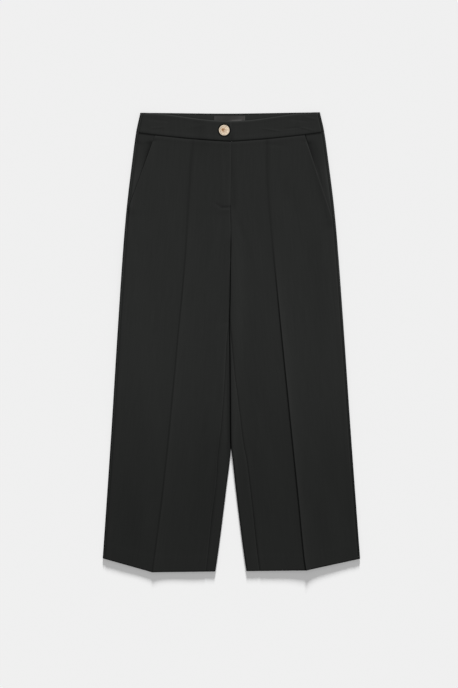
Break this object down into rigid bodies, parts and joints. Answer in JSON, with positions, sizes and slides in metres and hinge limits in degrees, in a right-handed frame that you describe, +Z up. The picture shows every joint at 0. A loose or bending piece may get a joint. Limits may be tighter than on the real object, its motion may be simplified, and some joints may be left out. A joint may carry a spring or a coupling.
{
  "type": "straight-leg trousers laid flat",
  "caption": "Pressed straight-leg trousers laid flat on their back, with a contoured waistband, a shank button, a fly and slant pockets, to show as clothing.",
  "frame": {"origin": "on the surface that the garment lies on, under the middle of its outline", "axes": "+Z up out of the front, +Y towards the waist, +X towards the wearer's left"},
  "size_m": [0.5461, 0.975, 0.01],
  "materials": {
    "cloth": "black crepe suiting, matt",
    "label": "dark grey woven satin, blank",
    "button": "pale gold plate, hammered face"
  },
  "bodies": {
    "root": {"front_right": "cloth", "front_left": "cloth", "back_right": "cloth", "back_left": "cloth", "pocket_facing_right": "cloth", "pocket_facing_left": "cloth", "waistband_right": "cloth", "waistband_left": "cloth", "waistband_back": "cloth", "waistband_facing": "cloth", "label": "label", "button": "button"}
  },
  "joints": []
}
